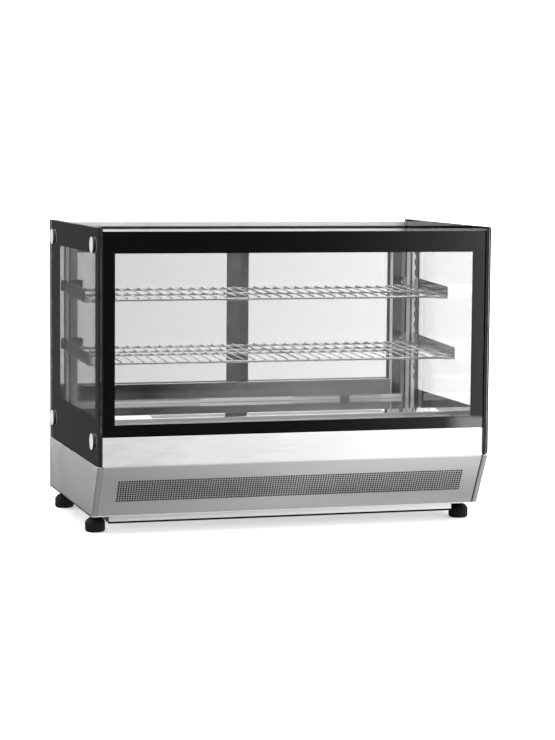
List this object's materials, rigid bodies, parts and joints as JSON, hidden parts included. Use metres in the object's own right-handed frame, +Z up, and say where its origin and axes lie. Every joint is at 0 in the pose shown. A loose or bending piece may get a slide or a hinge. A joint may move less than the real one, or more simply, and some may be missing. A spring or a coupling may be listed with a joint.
{
  "type": "bakery display case",
  "caption": "Countertop refrigerated bakery display case with flat glass, black borders, wire shelves, sliding rear doors and a steel base with a perforated air intake.",
  "frame": {"origin": "on the floor, at the centre of the bounding box", "axes": "+X to the right as a customer sees it, +Y from the front to the rear doors, +Z up"},
  "size_m": [0.894, 0.56, 0.665],
  "materials": {
    "steel": "brushed stainless steel",
    "bright_steel": "finely brushed, nearly polished stainless steel",
    "chrome": "polished chrome plate",
    "aluminium": "satin anodised",
    "glass": "clear tempered glass",
    "spacer": "black edge frame and printed border",
    "black_plastic": "fine satin",
    "grey_plastic": "satin moulding",
    "rubber": "matt black",
    "foam": "moulded insulated liner",
    "enamel": "black stove enamel",
    "diffuser": "opal"
  },
  "bodies": {
    "case": {"left_side_panel": "steel", "right_side_panel": "steel", "front_grille_panel": "steel", "deck_panel": "steel", "rear_sill": "steel", "rear_cover": "steel", "condenser_fan_shroud": "steel", "base_plate": "bright_steel", "front_fascia": "bright_steel", "left_upright": "chrome", "right_upright": "chrome", "left_upper_bracket": "chrome", "left_lower_bracket": "chrome", "right_upper_bracket": "chrome", "right_lower_bracket": "chrome", "left_lower_front_fixing": "chrome", "left_lower_rear_fixing": "chrome", "left_upper_front_fixing": "chrome", "left_upper_rear_fixing": "chrome", "right_lower_front_fixing": "chrome", "right_lower_rear_fixing": "chrome", "right_upper_front_fixing": "chrome", "right_upper_rear_fixing": "chrome", "rear_header": "aluminium", "left_rear_post": "aluminium", "right_rear_post": "aluminium", "lamp_housing": "aluminium", "condenser_coil": "aluminium", "evaporator_coil": "aluminium", "top_glass": "glass", "front_glass_outer_pane": "glass", "front_glass_inner_pane": "glass", "left_glass_outer_pane": "glass", "left_glass_inner_pane": "glass", "right_glass_outer_pane": "glass", "right_glass_inner_pane": "glass", "front_glass_spacer": "spacer", "left_glass_spacer": "spacer", "right_glass_spacer": "spacer", "controller": "black_plastic", "power_inlet": "black_plastic", "evaporator_fan_motor": "grey_plastic", "top_glass_gasket": "rubber", "insulated_tub": "foam", "compressor": "enamel", "lamp_diffuser": "diffuser"},
    "left_door": {"left_door_frame": "grey_plastic", "left_door_glass": "glass"},
    "right_door": {"right_door_frame": "grey_plastic", "right_door_glass": "glass"},
    "upper_shelf": {"upper_shelf": "chrome"},
    "lower_shelf": {"lower_shelf": "chrome"},
    "condenser_fan": {"condenser_fan": "black_plastic"},
    "evaporator_fan": {"evaporator_fan": "black_plastic"},
    "power_switch": {"power_switch": "black_plastic"},
    "controller_button": {"controller_button": "grey_plastic"},
    "left_front_foot": {"left_front_foot": "rubber"},
    "left_rear_foot": {"left_rear_foot": "rubber"},
    "right_front_foot": {"right_front_foot": "rubber"},
    "right_rear_foot": {"right_rear_foot": "rubber"}
  },
  "joints": [
    {"name": "left_door_slide", "type": "slide", "parent": "case", "child": "left_door", "axis": [1, 0, 0], "range_m": [0, 0.38]},
    {"name": "right_door_slide", "type": "slide", "parent": "case", "child": "right_door", "axis": [1, 0, 0], "range_m": [-0.38, 0]},
    {"name": "upper_shelf_lift", "type": "slide", "parent": "case", "child": "upper_shelf", "axis": [0, 0, 1], "range_m": [0, 0.05]},
    {"name": "lower_shelf_lift", "type": "slide", "parent": "case", "child": "lower_shelf", "axis": [0, 0, 1], "range_m": [0, 0.05]},
    {"name": "condenser_fan_spin", "type": "hinge", "parent": "case", "child": "condenser_fan", "pos_m": [0.275, -0.134, 0.117], "axis": [0, 1, 0], "continuous": true},
    {"name": "evaporator_fan_spin", "type": "hinge", "parent": "case", "child": "evaporator_fan", "pos_m": [-0.15, -0.027, 0.16], "axis": [0, 1, 0], "continuous": true},
    {"name": "power_switch_rock", "type": "hinge", "parent": "case", "child": "power_switch", "pos_m": [0.345, 0.27, 0.128], "axis": [1, 0, 0], "range_deg": [0, 16]},
    {"name": "controller_button_press", "type": "slide", "parent": "case", "child": "controller_button", "axis": [0, -1, 0], "range_m": [0, 0.001], "stiffness_N_per_m": 500, "springref_m": -0.001},
    {"name": "left_front_foot_height", "type": "slide", "parent": "case", "child": "left_front_foot", "axis": [0, 0, -1], "range_m": [0, 0.01]},
    {"name": "left_rear_foot_height", "type": "slide", "parent": "case", "child": "left_rear_foot", "axis": [0, 0, -1], "range_m": [0, 0.01]},
    {"name": "right_front_foot_height", "type": "slide", "parent": "case", "child": "right_front_foot", "axis": [0, 0, -1], "range_m": [0, 0.01]},
    {"name": "right_rear_foot_height", "type": "slide", "parent": "case", "child": "right_rear_foot", "axis": [0, 0, -1], "range_m": [0, 0.01]}
  ]
}
